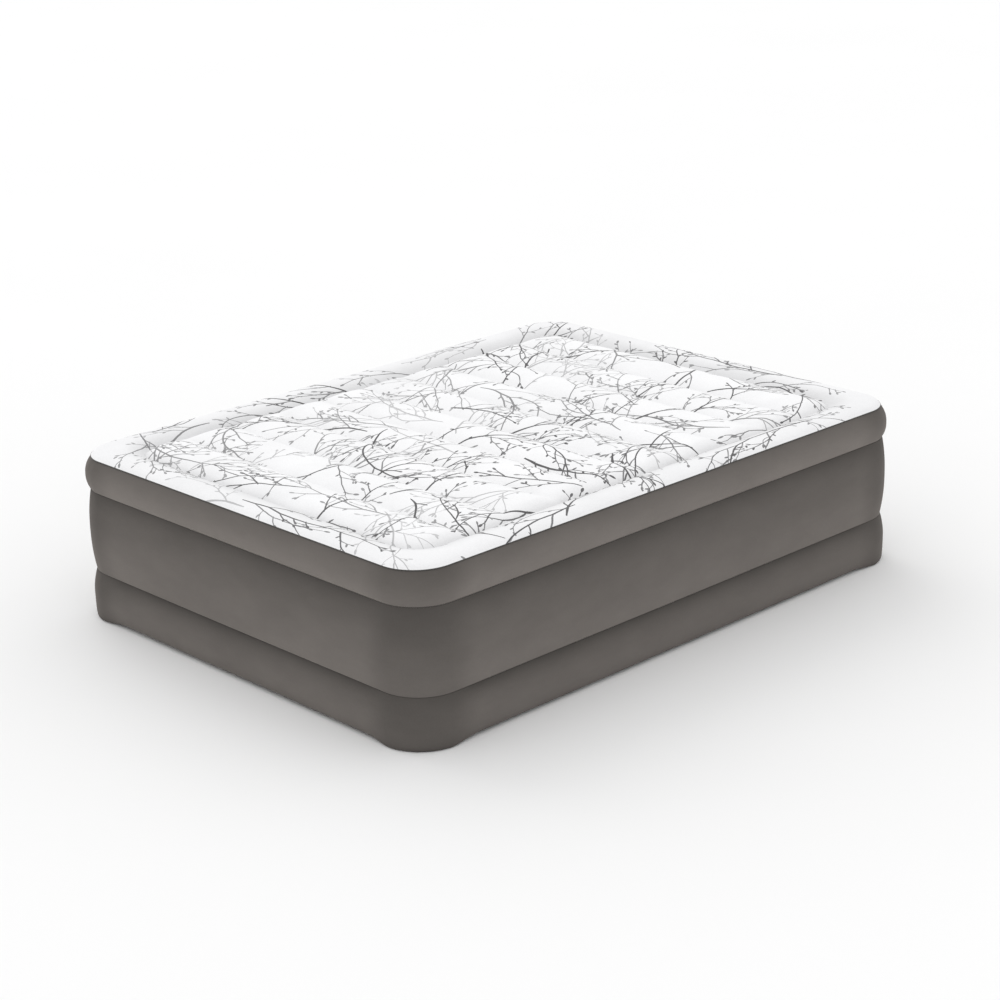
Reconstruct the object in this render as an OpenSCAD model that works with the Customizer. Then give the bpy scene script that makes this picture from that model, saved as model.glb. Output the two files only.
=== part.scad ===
// Raised air mattress, double height, with a built-in electric pump in its head end.
// X is the mattress width, +Y points to the head end, +Z is up.
// The origin is the centre of the footprint on the floor.

/* [Mattress] */
// Width over the widest bulge of the side bands
mattress_w = 1520; // [1370:5:1530]
// Length over the widest bulge of the side bands
mattress_l = 2030; // [1880:5:2060]
// Outer corner radius in plan
corner_r = 140; // [120:5:180]
// Height of the seam between the top sheet and the upper side band
top_seam_z = 497; // [470:1:540]
// Height of the waist seam between the upper and middle side bands
upper_waist_z = 400; // [380:1:420]
// Height of the waist seam between the middle and lower side bands
lower_waist_z = 150; // [120:1:165]
// Drawn thickness of the flocked outer film
film_t = 2; // [1.5:0.1:3]
// Drawn thickness of the inner sheets and tie strips
inner_t = 1.5; // [1:0.1:2.5]

/* [Insets] */
// Inset of the top seam from the outermost bulge
top_seam_inset = 21.5; // [15:0.5:30]
// Inset of both waist seams from the outermost bulge
waist_inset = 13; // [8:0.5:20]
// Inset of the floor seam from the outermost bulge
floor_seam_inset = 28; // [20:0.5:45]

/* [Top surface] */
// Height of the groove weld lines
groove_z = 490; // [475:1:495]
// Height of the crest of the raised rim
rim_crest_z = 512; // [505:1:530]
// Height of the crest of each crosswise beam
beam_crest_z = 515; // [505:1:535]
// Width of the weld strip round the sleeping surface
groove_w = 10; // [8:1:16]
// Width of the weld strip between two beams
beam_weld_w = 8; // [6:1:12]

/* [Tie strips] */
// Length of a tie strip under a beam groove
beam_tie_l = 1190; // [1000:10:1200]
// Length of the tie strips in the middle and base chambers
deep_tie_l = 1300; // [1000:10:1400]

/* [Pump] */
// Sideways place of the pump on the head end
pump_x = -400; // [-550:10:550]
// Height of the pump's centre
pump_z = 276; // [260:1:290]
// Depth of the bezel's face behind the widest bulge of the band
pump_recess = 5.5; // [4:0.5:10]
// Width of the pump tub
tub_w = 180; // [180:1:190]
// Height of the pump tub
tub_h = 110; // [110:1:116]
// Depth of the whole pump behind the bezel's face
tub_d = 135; // [135:1:150]
// Depth of the control panel behind the bezel's face
panel_d = 27.5; // [26:0.5:30]

/* [Hidden] */
$fn = 72;
half_w = mattress_w / 2;
half_l = mattress_l / 2;
weld_h = 3;
weld_w = 4;
groove_inset = corner_r;
beam_count = 10;
bed_half_w = half_w - groove_inset - groove_w;
bed_half_l = half_l - groove_inset - groove_w;
beam_pitch = 2 * bed_half_l / beam_count;
top_tie_z0 = upper_waist_z + inner_t / 2;
top_tie_z1 = groove_z - film_t;
top_end_lift = 1.2;

bezel_w = tub_w + 20;
bezel_h = tub_h + 20;
bezel_t = 3;
gasket_t = 1.5;
collar_y = bezel_t + gasket_t;
wall = 2.5;
panel_back = panel_d + wall;
window_w = 236;
window_h = 162;
collar_w = 264;
collar_h = 190;
step_w = window_w - 8;
step_h = window_h - 8;
weld_gap = 0.03;

knob_x = -48;
knob_r = 21;
shaft_r = 4;
running_gap = 0.05;
grille_r = 36;
chamber_y1 = 62;
fan_y1 = 86;
motor_r = 22;
motor_y0 = 88.5;
motor_y1 = 128;
motor_shaft_r = 2;

switch_x = 3;
switch_w = 18;
switch_h = 30;
rocker_r = 12;
rocker_w = 13;
rocker_off_angle = 8;
switch_axis_y = 28.5;
pivot_r = 1.5;

door_x0 = 19;
door_x1 = 80;
door_half_h = 41;
door_y = 24.6;
door_t = 2.5;
hinge_x = 83;
hinge_y = 24.5;
hinge_pin_r = 1.5;
hinge_pin_z = 27;
hinge_pin_l = 14;
knuckle_r = 2.7;
knuckle_z = 24.8;
knuckle_l = 9.6;
well_x0 = 18;
well_x1 = 82;
well_half_h = 42;
well_y1 = 95;
grommet_x = 50;

duct_x = 5;
duct_half = 10;
port_r = 9;
flap_r = 13;
flap_hinge_z = 16;

corner_screw = [80, 45];
clamp_screws_at = [[-95, 0], [95, 0], [-60, 60], [0, 60], [60, 60], [-60, -60], [0, -60], [60, -60]];

// ---- Shared shapes -------------------------------------------------------

// Radius of the arc over a chord of length c with rise s
function arc_radius(c, s) = (c * c / 4 + s * s) / (2 * s);

// Plan outline of the mattress, drawn inset by d
module plan(d) {
    r = corner_r - d;
    square([mattress_w - 2 * d, mattress_l - 2 * corner_r], center = true);
    square([mattress_w - 2 * corner_r, mattress_l - 2 * d], center = true);
    for (sx = [-1, 1], sy = [-1, 1])
        translate([sx * (half_w - corner_r), sy * (half_l - corner_r)]) circle(r);
}

// Sweeps a profile round the mattress: profile x is 0 at the widest bulge and negative inward
module around() {
    run_x = mattress_w - 2 * corner_r;
    run_y = mattress_l - 2 * corner_r;
    for (s = [0, 180]) {
        rotate([0, 0, s]) translate([half_w, run_y / 2, 0])
            rotate([90, 0, 0]) linear_extrude(run_y) children();
        rotate([0, 0, s + 90]) translate([half_l, run_x / 2, 0])
            rotate([90, 0, 0]) linear_extrude(run_x) children();
    }
    for (i = [0:3])
        translate([(i == 0 || i == 3 ? 1 : -1) * run_x / 2, (i < 2 ? 1 : -1) * run_y / 2, 0])
            rotate([0, 0, 90 * i]) rotate_extrude(angle = 90) translate([corner_r, 0]) children();
}

// Strip of thickness t that bulges from point a up to point b, with its crest at x = 0,
// cut level at both ends
module bulge_profile(a, b, t) {
    chord = norm(b - a);
    rise = -(a[0] + b[0]) / 2;
    r = arc_radius(chord, rise);
    dir = (b - a) / chord;
    centre = (a + b) / 2 - [dir[1], -dir[0]] * (r - rise);
    intersection() {
        translate(centre) difference() {
            circle(r, $fn = 360);
            circle(r - t, $fn = 360);
        }
        translate([-chord / 2, a[1]]) square([chord / 2 + 20, b[1] - a[1]]);
    }
}

// Arc strip over a chord that ends at heights z0 (at x0) and z1 (at x1), with its crest at top_z
module crown_profile(x0, z0, x1, z1, top_z, t) {
    chord = norm([x1 - x0, z1 - z0]);
    rise = top_z - (z0 + z1) / 2;
    r = arc_radius(chord, rise);
    dir = [x1 - x0, z1 - z0] / chord;
    centre = [x0 + x1, z0 + z1] / 2 + [dir[1], -dir[0]] * (r - rise);
    intersection() {
        translate(centre) difference() {
            circle(r, $fn = 360);
            circle(r - t, $fn = 360);
        }
        translate([x0, min(z0, z1) - t]) square([x1 - x0, 2 * rise + 2 * t]);
    }
}

module rounded_rect(w, h, r) {
    square([w - 2 * r, h], center = true);
    square([w, h - 2 * r], center = true);
    for (sx = [-1, 1], sy = [-1, 1])
        translate([sx * (w / 2 - r), sy * (h / 2 - r)]) circle(r);
}

// Flat sheet at a waist seam, with air holes
module diaphragm(z) {
    translate([0, 0, z - inner_t / 2]) linear_extrude(inner_t) difference() {
        plan(waist_inset + weld_w);
        for (ix = [-1:1], iy = [-3:3])
            translate([ix * 380, iy * 260 + 86]) circle(34);
    }
}

// Upright crosswise sheet that ties two levels together, with a row of air holes
module tie_strip(y, length, z0, z1, hole_r, holes) {
    pitch = length / holes;
    translate([0, y + inner_t / 2, 0]) rotate([90, 0, 0]) linear_extrude(inner_t) difference() {
        translate([-length / 2, z0]) square([length, z1 - z0]);
        for (i = [0:holes - 1])
            translate([-length / 2 + (i + 0.5) * pitch, (z0 + z1) / 2]) circle(hole_r);
    }
}

module beam_tie(i) {
    color("gainsboro")
        tie_strip(-bed_half_l + i * beam_pitch, beam_tie_l, top_tie_z0, top_tie_z1, 20, 11);
}

module middle_tie(i) {
    color("gainsboro")
        tie_strip(-bed_half_l + 2 * i * beam_pitch, deep_tie_l,
            lower_waist_z + inner_t / 2, upper_waist_z - inner_t / 2, 60, 8);
}

module base_tie(i) {
    color("gainsboro")
        tie_strip(-bed_half_l + 2 * i * beam_pitch, deep_tie_l,
            film_t, lower_waist_z - inner_t / 2, 40, 10);
}

// ---- Envelope ------------------------------------------------------------

// Profile across the ten beams, in Y and Z
module beams_profile(filled) {
    half_arc = (beam_pitch - beam_weld_w) / 2;
    rise = beam_crest_z - groove_z;
    r = arc_radius(2 * half_arc, rise);
    for (i = [0:beam_count - 1])
        translate([-bed_half_l + (i + 0.5) * beam_pitch, 0]) intersection() {
            translate([0, beam_crest_z - r]) difference() {
                circle(r, $fn = 360);
                if (!filled) circle(r - film_t, $fn = 360);
            }
            translate([-beam_pitch / 2, groove_z - film_t]) square([beam_pitch, rise + 2 * film_t]);
        }
    translate([-bed_half_l - 1, groove_z - film_t])
        square([beam_weld_w / 2 + 1, film_t]);
    translate([bed_half_l - beam_weld_w / 2, groove_z - film_t])
        square([beam_weld_w / 2 + 1, film_t]);
    for (i = [1:beam_count - 1])
        translate([-bed_half_l + i * beam_pitch - beam_weld_w / 2, groove_z - film_t])
            square([beam_weld_w, film_t]);
}

module top_sheet() {
    color("whitesmoke") {
        around() difference() {
            crown_profile(-corner_r, groove_z, -top_seam_inset,
                top_seam_z + weld_h / 2 + top_end_lift, rim_crest_z, film_t);
            translate([-top_seam_inset - weld_w - 1, top_seam_z - weld_h / 2])
                square([weld_w + 2, weld_h]);
        }
        translate([0, 0, groove_z - film_t]) linear_extrude(film_t) difference() {
            square([2 * (bed_half_w + groove_w), 2 * (bed_half_l + groove_w)], center = true);
            square([2 * bed_half_w, 2 * bed_half_l], center = true);
        }
        rotate([90, 0, 90]) translate([0, 0, -bed_half_w])
            linear_extrude(2 * bed_half_w) beams_profile(false);
        for (x = [-bed_half_w, bed_half_w - film_t])
            rotate([90, 0, 90]) translate([0, 0, x]) linear_extrude(film_t) beams_profile(true);
    }
}

module upper_side_band() {
    color("dimgray") around()
        bulge_profile([-waist_inset, upper_waist_z + weld_h / 2],
            [-top_seam_inset, top_seam_z - weld_h / 2], film_t);
}

module middle_side_band() {
    color("dimgray") difference() {
        around() middle_profile(0);
        translate([pump_x, half_l, pump_z]) cube([window_w, 60, window_h], center = true);
    }
}

// Profile of the middle band, moved inward by d
module middle_profile(d) {
    translate([-d, 0]) bulge_profile([-waist_inset, lower_waist_z + weld_h / 2],
        [-waist_inset, upper_waist_z - weld_h / 2], film_t);
}

module lower_side_band() {
    color("dimgray") around()
        bulge_profile([-floor_seam_inset, weld_h], [-waist_inset, lower_waist_z - weld_h / 2], film_t);
}

module bottom_sheet() {
    color("slategray") linear_extrude(film_t) plan(floor_seam_inset + weld_w);
}

// Welded seam ring, with its outer face inset by d and centred at height z
module seam_ring(d, z) {
    around() translate([-d - weld_w, z - weld_h / 2]) square([weld_w, weld_h]);
}

module top_seam() { color("darkslategray") seam_ring(top_seam_inset, top_seam_z); }
module upper_waist_seam() { color("darkslategray") seam_ring(waist_inset, upper_waist_z); }
module lower_waist_seam() { color("darkslategray") seam_ring(waist_inset, lower_waist_z); }
module floor_seam() { color("darkslategray") seam_ring(floor_seam_inset, weld_h / 2); }

module upper_diaphragm() { color("lightgray") diaphragm(upper_waist_z); }
module lower_diaphragm() { color("lightgray") diaphragm(lower_waist_z); }

// Upright loop that ties the groove round the sleeping surface down to the diaphragm
module rim_tie() {
    w = 2 * bed_half_w + groove_w;
    l = 2 * bed_half_l + groove_w;
    mid_z = (top_tie_z0 + top_tie_z1) / 2;
    color("gainsboro") difference() {
        translate([0, 0, top_tie_z0]) linear_extrude(top_tie_z1 - top_tie_z0) difference() {
            square([w, l], center = true);
            square([w - 2 * inner_t, l - 2 * inner_t], center = true);
        }
        for (i = [-3:3])
            translate([i * 160, 0, mid_z]) rotate([90, 0, 0]) cylinder(h = l + 10, r = 20, center = true);
        for (i = [-5:5])
            translate([0, i * 150, mid_z]) rotate([0, 90, 0]) cylinder(h = w + 10, r = 20, center = true);
    }
}

// ---- Pump ----------------------------------------------------------------
// The pump is drawn with y = 0 on the bezel's face and +y pointing into the mattress.

module at_pump() {
    translate([pump_x, half_l - pump_recess, pump_z]) rotate([0, 0, 180]) children();
}

// Plate from depth y0 to y1, from an outline in x and z
module plate(y0, y1) {
    translate([0, y1, 0]) rotate([90, 0, 0]) linear_extrude(y1 - y0) children();
}

// Round bar along the depth axis, at x and z
module rod(x, z, r, y0, y1) {
    translate([x, y1, z]) rotate([90, 0, 0]) cylinder(h = y1 - y0, r = r);
}

// Soft frame welded behind the band's window, with a flat step that carries the bezel
module pump_collar() {
    color("dimgray") difference() {
        union() {
            at_pump() plate(collar_y, collar_y + film_t) rounded_rect(step_w, step_h, 14);
            intersection() {
                at_pump() plate(-2, 20) difference() {
                    rounded_rect(collar_w, collar_h, 20);
                    rounded_rect(step_w - 2 * film_t, step_h - 2 * film_t, 12);
                }
                translate([0, half_l, 0]) rotate([90, 0, 90])
                    translate([0, 0, pump_x - collar_w]) linear_extrude(2 * collar_w)
                        middle_profile(film_t + weld_gap);
            }
            intersection() {
                at_pump() plate(-2, collar_y + film_t) difference() {
                    rounded_rect(step_w, step_h, 14);
                    rounded_rect(step_w - 2 * film_t, step_h - 2 * film_t, 12);
                }
                translate([pump_x - collar_w, half_l - 40, pump_z - collar_h])
                    cube([2 * collar_w, 40 - film_t - pump_recess, 2 * collar_h]);
            }
        }
        at_pump() plate(-10, 30) rounded_rect(tub_w + 1, tub_h + 1, 10.5);
        at_pump() clamp_holes(2.2);
    }
}

module clamp_holes(r) {
    for (p = clamp_screws_at)
        rod(p[0], p[1], r, -10, 20);
}

module bezel_gasket() {
    color("black") at_pump() difference() {
        plate(bezel_t, collar_y) difference() {
            rounded_rect(bezel_w - 2, bezel_h - 2, 15);
            rounded_rect(tub_w + 1, tub_h + 1, 10.5);
        }
        clamp_holes(2.2);
    }
}

module clamp_ring() {
    color("darkgray") at_pump() difference() {
        plate(collar_y + film_t, collar_y + film_t + 3) difference() {
            rounded_rect(bezel_w, bezel_h, 16);
            rounded_rect(tub_w + 1, tub_h + 1, 10.5);
        }
        clamp_holes(1.75);
    }
}

module clamp_screws() {
    color("silver") at_pump() for (p = clamp_screws_at) {
        rod(p[0], p[1], 1.75, 0, collar_y + film_t + 3);
        difference() {
            rod(p[0], p[1], 3, -1.5, 0);
            translate([p[0], -1.2, p[1]]) cube([4, 1, 0.9], center = true);
            translate([p[0], -1.2, p[1]]) cube([0.9, 1, 4], center = true);
        }
    }
}

module pump_bezel() {
    color("darkgray") at_pump() difference() {
        union() {
            plate(0, bezel_t) rounded_rect(bezel_w, bezel_h, 16);
            plate(0, panel_back) rounded_rect(tub_w, tub_h, 10);
        }
        difference() {
            plate(-1, panel_d) rounded_rect(tub_w - 2 * wall, tub_h - 2 * wall, 8);
            for (s = [-1, 1])
                hinge_ear(s);
        }
        for (s = [-1, 1])
            translate([hinge_x, hinge_y, s * hinge_pin_z])
                cylinder(h = hinge_pin_l, r = hinge_pin_r, center = true);
        clamp_holes(1.75);
        rod(knob_x, 0, shaft_r + running_gap, 10, panel_back + 1);
        vent_sectors();
        plate(panel_d - 1, panel_back + 1)
            translate([switch_x, 0]) square([switch_w, switch_h], center = true);
        plate(panel_d - 1, panel_back + 1)
            translate([(door_x0 + door_x1) / 2, 0]) square([54, 76], center = true);
        for (sx = [-1, 1], sz = [-1, 1])
            rod(sx * corner_screw[0], sz * corner_screw[1], 1.75, panel_d - 1, panel_back + 1);
    }
}

// Three openings in the panel round the selector, with three spokes between them
module vent_sectors() {
    plate(panel_d - 1, panel_back + 1) translate([knob_x, 0]) difference() {
        circle(grille_r - 3);
        circle(knob_r + 3);
        for (a = [0, 120, 240])
            rotate(a) translate([0, -2.5]) square([grille_r, 5]);
    }
}

// Ear that holds a door pin: round in front of the axis, square where it meets the panel
module hinge_ear(s) {
    translate([hinge_x, hinge_y, s * 32]) cylinder(h = 4, r = knuckle_r - 0.2, center = true);
    translate([hinge_x, hinge_y + 2, s * 32]) cube([5, 4, 4], center = true);
}

module air_grille() {
    color("gray") at_pump() plate(panel_d - 3, panel_d) translate([knob_x, 0]) difference() {
        circle(grille_r);
        circle(knob_r + 2.5);
        for (a = [0:15:345])
            rotate(a) translate([knob_r + 5, -1.1]) square([7, 2.2]);
    }
}

module selector_knob() {
    color("dimgray") at_pump() difference() {
        union() {
            rod(knob_x, 0, knob_r, 12, 26);
            plate(5, 12) translate([knob_x, 0]) rounded_rect(9, 2 * knob_r - 4, 3);
        }
        rod(knob_x, 0, shaft_r, 14, 27);
        for (a = [0:15:345])
            rod(knob_x + (knob_r + 0.8) * cos(a), (knob_r + 0.8) * sin(a), 1.6, 11, 27);
    }
}

module selector_shaft() { color("lightgray") at_pump() rod(knob_x, 0, shaft_r, 14, 58); }

module shaft_seal() {
    color("black") at_pump() difference() {
        rod(knob_x, 0, 7, panel_back, panel_back + 2);
        rod(knob_x, 0, shaft_r + running_gap, panel_back - 1, panel_back + 3);
    }
}

// Turning drum: its window in the back sends the air one way or the other
module selector_drum() {
    r = grille_r - 3;
    color("ivory") at_pump() difference() {
        rod(knob_x, 0, r, panel_back + 3, 58);
        plate(panel_back + 2, 55.5) translate([knob_x, 0]) difference() {
            circle(r - 2);
            circle(7);
            for (a = [30, 150, 270])
                rotate(a) translate([0, -1]) square([r, 2]);
        }
        rod(knob_x, 0, shaft_r, panel_back, 59);
        rod(knob_x, 20, 9, 50, 59);
        rod(knob_x, -20, 9, 50, 59);
    }
}

module valve_chamber() {
    color("silver") at_pump() difference() {
        rod(knob_x, 0, grille_r, panel_back, chamber_y1);
        rod(knob_x, 0, grille_r - 2, panel_back - 1, chamber_y1 - 2);
        rod(knob_x, 0, 14, panel_back, chamber_y1 + 1);
    }
}

// Rocker on its moulded pivot, stored with its off side pressed in
module rocker_switch() {
    color("black") at_pump() translate([switch_x, switch_axis_y, 0])
        rotate([rocker_off_angle, 0, 0]) rotate([0, 90, 0]) {
            translate([0, 0, -rocker_w / 2]) linear_extrude(rocker_w) intersection() {
                circle(rocker_r);
                polygon([[-12, 4], [-12, -7.5], [0, -5], [12, -7.5], [12, 4]]);
            }
            cylinder(h = rocker_w + 3.4, r = pivot_r, center = true);
        }
}

module switch_body() {
    color("black") at_pump() difference() {
        union() {
            plate(panel_d - 2, panel_d) translate([switch_x, 0])
                rounded_rect(switch_w + 4, switch_h + 4, 2);
            plate(panel_d, 46) translate([switch_x, 0]) square([switch_w, switch_h], center = true);
            for (z = [-8, 0, 8])
                translate([switch_x, 49, z]) cube([4.8, 6, 0.8], center = true);
        }
        translate([switch_x, switch_axis_y, 0]) rotate([0, 90, 0]) {
            cylinder(h = rocker_w + 0.8, r = rocker_r + 0.4, center = true);
            cylinder(h = rocker_w + 3.8, r = pivot_r + running_gap, center = true);
        }
    }
}

// Cover of the cord well, hung on two pins
module cord_door() {
    mid_x = (door_x0 + door_x1) / 2;
    color("gray") at_pump() difference() {
        union() {
            plate(door_y, door_y + door_t) translate([mid_x, 0])
                rounded_rect(door_x1 - door_x0, 2 * door_half_h, 3);
            for (s = [-1, 1]) {
                translate([(door_x1 + hinge_x - 1) / 2, door_y + door_t / 2, s * knuckle_z])
                    cube([hinge_x - door_x1 + 1, door_t, knuckle_l], center = true);
                translate([hinge_x, hinge_y, s * knuckle_z])
                    cylinder(h = knuckle_l, r = knuckle_r, center = true);
            }
            for (z = [-12:6:12])
                translate([door_x0 + 10, door_y - 0.5, z]) cube([10, 1.2, 2], center = true);
        }
        for (s = [-1, 1])
            translate([hinge_x, hinge_y, s * knuckle_z])
                cylinder(h = knuckle_l + 2, r = hinge_pin_r + running_gap, center = true);
        translate([door_x0 - 1, 0, 0]) rotate([90, 0, 0]) cylinder(h = 80, r = 6, center = true);
    }
}

module door_hinge_pins() {
    color("silver") at_pump() for (s = [-1, 1])
        translate([hinge_x, hinge_y, s * hinge_pin_z])
            cylinder(h = hinge_pin_l, r = hinge_pin_r, center = true);
}

module cord_well() {
    mid_x = (well_x0 + well_x1) / 2;
    w = well_x1 - well_x0;
    color("lightgray") at_pump() difference() {
        plate(panel_back, well_y1) translate([mid_x, 0]) rounded_rect(w, 2 * well_half_h, 5);
        plate(panel_back - 1, well_y1 - 2) translate([mid_x, 0])
            rounded_rect(w - 4, 2 * well_half_h - 4, 4);
        rod(grommet_x, 0, 5, well_y1 - 3, well_y1 + 1);
    }
}

module cord_grommet() {
    color("black") at_pump() difference() {
        union() {
            rod(grommet_x, 0, 5, well_y1 - 2, well_y1);
            rod(grommet_x, 0, 7.5, well_y1 - 5, well_y1 - 2);
            rod(grommet_x, 0, 7.5, well_y1, well_y1 + 2);
        }
        rod(grommet_x, 0, 3, well_y1 - 6, well_y1 + 3);
    }
}

module pump_housing() {
    color("silver") at_pump() {
        difference() {
            plate(panel_back, tub_d) rounded_rect(tub_w, tub_h, 10);
            plate(panel_back - 1, tub_d - wall) rounded_rect(tub_w - 2 * wall, tub_h - 2 * wall, 8);
            rod(duct_x, 0, port_r, tub_d - 5, tub_d + 1);
        }
        for (sx = [-1, 1], sz = [-1, 1])
            difference() {
                plate(panel_back, panel_back + 26)
                    translate([sx * (corner_screw[0] + 1.5), sz * (corner_screw[1] + 2.75)])
                        square([13, 10.5], center = true);
                rod(sx * corner_screw[0], sz * corner_screw[1], 1.75, panel_back - 1, panel_back + 18);
            }
        for (s = [-1, 1])
            difference() {
                translate([duct_x + s * 9, tub_d + 2.5, flap_hinge_z]) cube([3, 5, 5], center = true);
                translate([duct_x, tub_d + 2.5, flap_hinge_z]) rotate([0, 90, 0])
                    cylinder(h = 40, r = 1, center = true);
            }
    }
}

module housing_screws() {
    color("silver") at_pump() for (sx = [-1, 1], sz = [-1, 1]) {
        rod(sx * corner_screw[0], sz * corner_screw[1], 1.75, panel_d, panel_back + 16);
        difference() {
            rod(sx * corner_screw[0], sz * corner_screw[1], 3.2, panel_d - 2, panel_d);
            translate([sx * corner_screw[0], panel_d - 2, sz * corner_screw[1]])
                cube([4.4, 1.6, 0.9], center = true);
            translate([sx * corner_screw[0], panel_d - 2, sz * corner_screw[1]])
                cube([0.9, 1.6, 4.4], center = true);
        }
    }
}

module fan_volute() {
    color("silver") at_pump() difference() {
        rod(knob_x, 0, grille_r, chamber_y1, fan_y1);
        rod(knob_x, 0, grille_r - 2, chamber_y1 + 2, fan_y1 + 1);
        rod(knob_x, 0, 14, chamber_y1 - 1, chamber_y1 + 3);
        translate([knob_x + grille_r, (chamber_y1 + fan_y1) / 2 + 1, 0])
            cube([16, 16, 2 * duct_half - 4], center = true);
    }
}

module fan_back_plate() {
    color("darkgray") at_pump() difference() {
        rod(knob_x, 0, grille_r, fan_y1, motor_y0);
        rod(knob_x, 0, 5, fan_y1 - 1, motor_y0 + 1);
    }
}

module impeller() {
    y0 = chamber_y1 + 4;
    y1 = fan_y1 - 2;
    color("ivory") at_pump() difference() {
        union() {
            rod(knob_x, 0, 31, y1 - 1.5, y1);
            rod(knob_x, 0, 6, y0, y1);
            for (a = [0:30:330])
                translate([knob_x, 0, 0]) rotate([0, a, 0]) translate([18, (y0 + y1) / 2, 2])
                    cube([24, y1 - y0, 1.2], center = true);
        }
        rod(knob_x, 0, motor_shaft_r, y0 - 1, y1 + 1);
    }
}

module motor_shaft() {
    color("silver") at_pump() rod(knob_x, 0, motor_shaft_r, chamber_y1 + 3, motor_y1 + 2);
}

module motor() {
    color("slategray") at_pump() difference() {
        union() {
            rod(knob_x, 0, motor_r, motor_y0, motor_y1 - 2);
            rod(knob_x, 0, 7, motor_y1 - 3, motor_y1);
        }
        rod(knob_x, 0, motor_shaft_r + running_gap, motor_y0 - 1, motor_y1 + 1);
    }
}

module motor_ring() {
    color("black") at_pump() difference() {
        rod(knob_x, 0, motor_r + 2.5, 112, 120);
        rod(knob_x, 0, motor_r, 111, 121);
    }
}

module motor_cradle() {
    foot_z = -(tub_h / 2 - wall);
    color("darkgray") at_pump() difference() {
        union() {
            rod(knob_x, 0, motor_r + 5.5, 112, 120);
            translate([knob_x - 20, 112, foot_z]) cube([40, 8, -foot_z - 10]);
        }
        rod(knob_x, 0, motor_r + 2.5, 111, 121);
    }
}

module outlet_duct() {
    inner = duct_half - 2;
    y_mid = (chamber_y1 + fan_y1) / 2 + 1;
    color("silver") at_pump() difference() {
        union() {
            translate([knob_x + grille_r + 6, y_mid, 0]) cube([24, 20, 2 * duct_half], center = true);
            translate([duct_x - duct_half, y_mid - 10, -duct_half])
                cube([2 * duct_half, tub_d - wall - y_mid + 10, 2 * duct_half]);
        }
        rod(knob_x, 0, grille_r, 0, tub_d);
        translate([knob_x + grille_r + 5, y_mid, 0]) cube([30, 16, 2 * inner], center = true);
        translate([duct_x - inner, y_mid - 8, -inner])
            cube([2 * inner, tub_d, 2 * inner]);
    }
}

// One-way valve disc that hangs over the port on the mattress side
module outlet_flap() {
    color("black") at_pump() difference() {
        union() {
            rod(duct_x, 0, flap_r, tub_d + 0.4, tub_d + 2);
            translate([duct_x - 6, tub_d + 0.4, 8]) cube([12, 1.6, flap_hinge_z - 8]);
            translate([duct_x, tub_d + 2.5, flap_hinge_z]) rotate([0, 90, 0])
                cylinder(h = 14, r = 2, center = true);
        }
        translate([duct_x, tub_d + 2.5, flap_hinge_z]) rotate([0, 90, 0])
            cylinder(h = 20, r = 1 + running_gap, center = true);
    }
}

module flap_hinge_pin() {
    color("silver") at_pump() translate([duct_x, tub_d + 2.5, flap_hinge_z]) rotate([0, 90, 0])
        cylinder(h = 22, r = 1, center = true);
}

// Round wire through a list of points, with a slightly larger ball at each bend
module wire(points, r) {
    for (i = [0:len(points) - 2]) {
        d = points[i + 1] - points[i];
        translate(points[i]) rotate([0, acos(d[2] / norm(d)), atan2(d[1], d[0])])
            cylinder(h = norm(d), r = r, $fn = 10);
        if (i > 0) translate(points[i]) sphere(1.2 * r, $fn = 10);
    }
}

module pump_wiring() {
    color("firebrick") at_pump() {
        wire([[grommet_x, 97, 0], [grommet_x, 104, 0], [grommet_x, 104, 24],
            [switch_x + 8, 104, 24], [switch_x + 8, 60, 24], [switch_x, 60, 8], [switch_x, 52, 8]], 1.5);
        wire([[switch_x, 52, -8], [switch_x, 60, -8], [switch_x - 6, 62, -24],
            [switch_x - 6, 110, -24], [knob_x + 26, 108, -14], [knob_x + 21.1, 106, -9]], 1.5);
    }
}

top_sheet();
upper_side_band();
middle_side_band();
lower_side_band();
bottom_sheet();
top_seam();
upper_waist_seam();
lower_waist_seam();
floor_seam();
upper_diaphragm();
lower_diaphragm();
rim_tie();
for (i = [1:9]) beam_tie(i);
for (i = [1:4]) middle_tie(i);
for (i = [1:4]) base_tie(i);
pump_collar();
bezel_gasket();
clamp_ring();
clamp_screws();
pump_bezel();
air_grille();
selector_knob();
selector_shaft();
shaft_seal();
selector_drum();
valve_chamber();
rocker_switch();
switch_body();
cord_door();
door_hinge_pins();
cord_well();
cord_grommet();
pump_housing();
housing_screws();
fan_volute();
fan_back_plate();
impeller();
motor_shaft();
motor();
motor_ring();
motor_cradle();
outlet_duct();
outlet_flap();
flap_hinge_pin();
pump_wiring();
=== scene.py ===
"""Looks of the raised air mattress: printed flocked top, three soft side bands and the pump panel.

The CAD frame gives every position. Lengths are in metres, X across, +Y to the head end, +Z up.
"""

import math

import bmesh
import bpy
import numpy as np
from mathutils import Matrix, Vector, noise
from mathutils.kdtree import KDTree


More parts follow.
